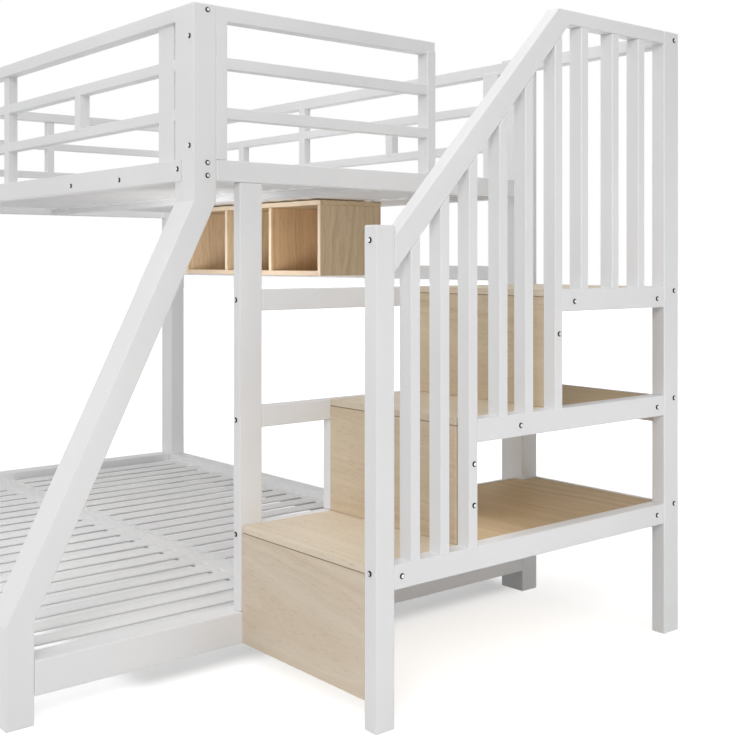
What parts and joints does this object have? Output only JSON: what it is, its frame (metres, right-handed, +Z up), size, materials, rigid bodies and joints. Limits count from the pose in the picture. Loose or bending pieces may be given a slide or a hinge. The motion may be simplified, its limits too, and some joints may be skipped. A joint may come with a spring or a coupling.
{
  "type": "bunk bed with storage stair",
  "caption": "White metal bunk bed with a narrow berth over a wide one, slanted front legs, a railed storage stair at its end and an open wooden shelf.",
  "frame": {"origin": "on the floor, below the centre of the box round bed and stair", "axes": "+X along the bed towards the stair, +Y from the open front to the back, +Z up"},
  "size_m": [2.416, 1.435, 1.414],
  "materials": {
    "frame_white": "satin white powder coat",
    "slat_white": "satin white powder coat",
    "stair_oak": "pale oak grain, matt",
    "shelf_oak": "pale oak grain, matt"
  },
  "bodies": {
    "root": {"front_leg_right": "frame_white", "front_leg_left": "frame_white", "back_post_right": "frame_white", "back_post_left": "frame_white", "lower_end_rail_right": "frame_white", "lower_end_rail_left": "frame_white", "lower_side_rail_front": "frame_white", "lower_side_rail_back": "frame_white", "upper_end_rail_right": "frame_white", "upper_end_rail_left": "frame_white", "upper_side_rail_front": "frame_white", "upper_side_rail_back": "frame_white", "middle_back_rail": "frame_white", "front_guard": "frame_white", "back_guard": "frame_white", "end_guard_right": "frame_white", "end_guard_left": "frame_white", "end_upright": "frame_white", "end_bar_low": "frame_white", "end_bar_middle": "frame_white", "end_bar_high": "frame_white", "riser_upright_low": "frame_white", "riser_upright_high": "frame_white", "stair_front_post": "frame_white", "stair_back_post": "frame_white", "stair_handrail": "frame_white", "stair_side_low": "frame_white", "stair_side_middle": "frame_white", "stair_side_high": "frame_white", "stair_back_rail_low": "frame_white", "stair_back_rail_middle": "frame_white", "stair_back_rail_high": "frame_white", "stair_back_rail_top": "frame_white", "storage_rim_low": "frame_white", "storage_rim_middle": "frame_white", "lower_deck_beam": "slat_white", "lower_slats_front": "slat_white", "lower_slats_back": "slat_white", "upper_deck_beam": "slat_white", "upper_slats_front": "slat_white", "upper_slats_back": "slat_white", "tread_first": "stair_oak", "tread_second": "stair_oak", "landing": "stair_oak", "riser_first": "stair_oak", "riser_second": "stair_oak", "riser_third": "stair_oak", "storage_board_low": "stair_oak", "storage_board_middle": "stair_oak", "shelf_top": "shelf_oak", "shelf_side_left": "shelf_oak", "shelf_side_right": "shelf_oak", "shelf_bottom": "shelf_oak", "shelf_divider_1": "shelf_oak", "shelf_divider_2": "shelf_oak", "shelf_back": "shelf_oak"}
  },
  "joints": []
}
